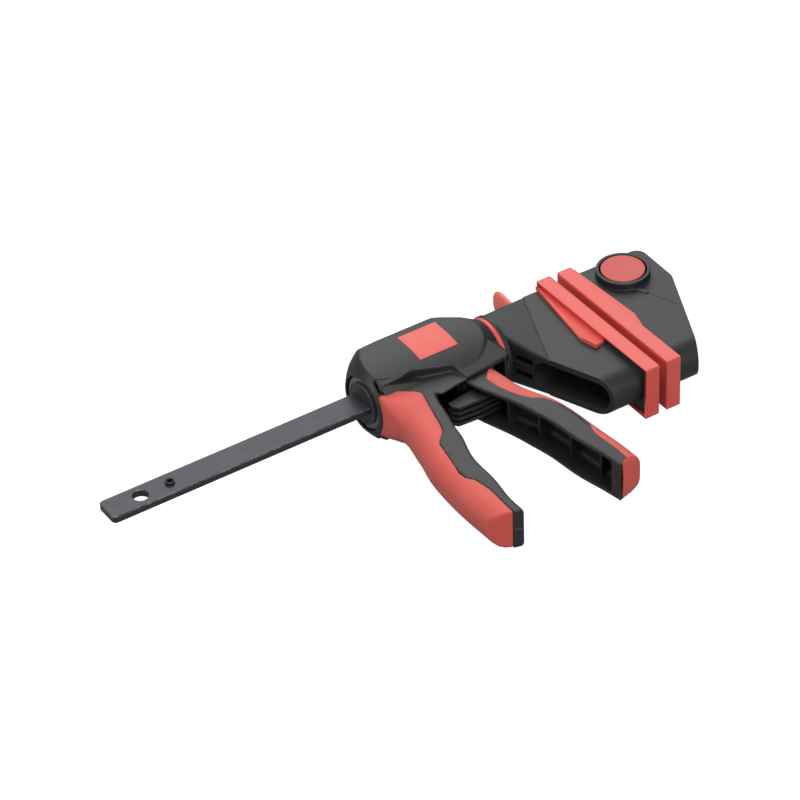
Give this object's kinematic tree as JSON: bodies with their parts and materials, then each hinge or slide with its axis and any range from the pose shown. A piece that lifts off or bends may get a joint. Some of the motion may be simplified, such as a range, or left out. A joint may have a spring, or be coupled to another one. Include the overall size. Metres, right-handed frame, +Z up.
{
  "type": "quick release bar clamp",
  "caption": "One-handed bar clamp lying on its side: trigger handle that turns on the bar, quick-release lever, push-button fixed jaw, padded jaws and a flat bar.",
  "frame": {"origin": "centre of the hanging hole in the bar's free end, at mid thickness of the bar", "axes": "+X along the bar towards the fixed jaw, -Y the way the jaws, grip and trigger reach, +Z up as the clamp lies on its side, the side with the push button"},
  "size_m": [0.4074, 0.199, 0.0504],
  "materials": {
    "bar_steel": "burnished dark flat bar",
    "bright_steel": "plain machined steel",
    "spring_steel": "drawn spring wire",
    "black_plastic": "fine-grained glass-filled plastic",
    "red_plastic": "smooth moulded plastic",
    "red_soft": "soft-touch overmould"
  },
  "bodies": {
    "frame_bar": {"bar": "bar_steel", "stop_pin": "spring_steel", "fixed_jaw": "black_plastic", "fixed_pad": "red_plastic", "lock_spring": "spring_steel"},
    "lock": {"lock_button": "red_plastic", "lock_pin": "bright_steel"},
    "slider": {"sliding_jaw": "black_plastic", "sliding_pad": "red_plastic", "guide_core": "bright_steel", "swivel_ring": "red_plastic", "retaining_clip": "spring_steel", "front_washer": "bright_steel", "brake_spring": "spring_steel", "drive_spring": "spring_steel"},
    "handle": {"handle_upper": "black_plastic", "handle_lower": "black_plastic", "grip_cover": "red_soft", "pivot_pin": "bright_steel"},
    "trigger_body": {"trigger": "black_plastic", "trigger_cover": "red_soft"},
    "drive": {"drive_plate": "bright_steel", "thrust_ring": "bright_steel"},
    "release": {"brake_plate": "bright_steel", "release_lever": "red_plastic"}
  },
  "joints": [
    {"name": "jaw_slide", "type": "slide", "parent": "frame_bar", "child": "slider", "axis": [-1, 0, 0], "range_m": [-0.0052, 0.134]},
    {"name": "handle_turn", "type": "hinge", "parent": "slider", "child": "handle", "pos_m": [0.2, 0, 0], "axis": [1, 0, 0], "continuous": true},
    {"name": "trigger_squeeze", "type": "hinge", "parent": "handle", "child": "trigger_body", "pos_m": [0.2306, 0.017, 0], "axis": [0, 0, -1], "range_deg": [0, 21], "stiffness_Nm_per_rad": 1.5, "springref_deg": -17.19},
    {"name": "drive_push", "type": "slide", "parent": "slider", "child": "drive", "axis": [-1, 0, 0], "range_m": [0, 0.0061], "deforming": ["drive_spring"]},
    {"name": "release_tilt", "type": "hinge", "parent": "slider", "child": "release", "pos_m": [0.2797, -0.0145, 0], "axis": [0, 0, 1], "range_deg": [0, 7], "stiffness_Nm_per_rad": 2, "springref_deg": -5.73, "deforming": ["brake_spring"]},
    {"name": "lock_press", "type": "slide", "parent": "frame_bar", "child": "lock", "axis": [0, 0, -1], "range_m": [0, 0.006], "stiffness_N_per_m": 800, "springref_m": -0.004, "deforming": ["lock_spring"]}
  ],
  "couplings": [
    {"joint": "drive_push", "follows": "trigger_squeeze", "m_per_rad": 0.01637}
  ]
}
